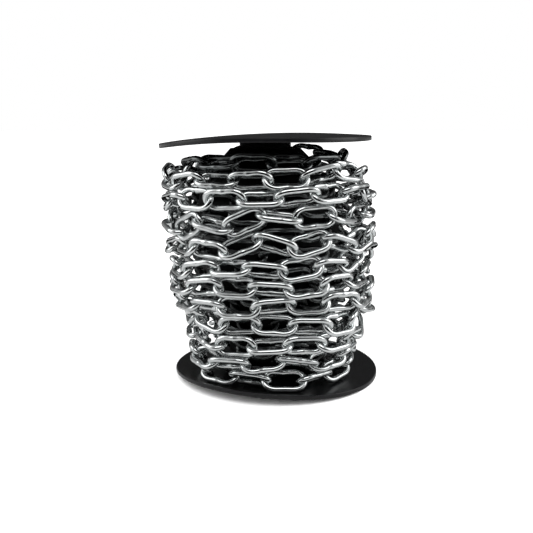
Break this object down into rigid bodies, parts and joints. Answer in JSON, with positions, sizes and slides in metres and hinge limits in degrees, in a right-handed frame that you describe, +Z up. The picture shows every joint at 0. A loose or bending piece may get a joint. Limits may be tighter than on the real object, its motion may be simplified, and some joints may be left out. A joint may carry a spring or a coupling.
{
  "type": "reel of steel chain",
  "caption": "Welded steel chain with straight links, wound loosely on a plastic reel that stands on one flange.",
  "frame": {"origin": "bottom centre of the bounding box: on the floor, under the middle of the leaning reel", "axes": "+Z up along the reel, +X to the right seen from the front, +Y to the back"},
  "size_m": [0.1953, 0.185, 0.2152],
  "materials": {
    "reel_plastic": "satin black moulded plastic",
    "chain_steel": "bright zinc plating",
    "hidden_chain": "plain"
  },
  "bodies": {
    "root": {"flange_bottom": "reel_plastic", "flange_top": "reel_plastic", "barrel": "reel_plastic", "chain_core": "hidden_chain", "chain_turn_01": "chain_steel", "chain_turn_02": "chain_steel", "chain_turn_03": "chain_steel", "chain_turn_04": "chain_steel", "chain_turn_05": "chain_steel", "chain_turn_06": "chain_steel", "chain_turn_07": "chain_steel", "chain_turn_08": "chain_steel", "chain_turn_09": "chain_steel", "chain_turn_10": "chain_steel", "chain_turn_11": "chain_steel", "chain_turn_12": "chain_steel", "inner_turn_01": "chain_steel", "inner_turn_02": "chain_steel", "inner_turn_03": "chain_steel", "inner_turn_04": "chain_steel", "inner_turn_05": "chain_steel", "inner_turn_06": "chain_steel", "inner_turn_07": "chain_steel", "inner_turn_08": "chain_steel", "inner_turn_09": "chain_steel", "inner_turn_10": "chain_steel", "inner_turn_11": "chain_steel"}
  },
  "joints": []
}
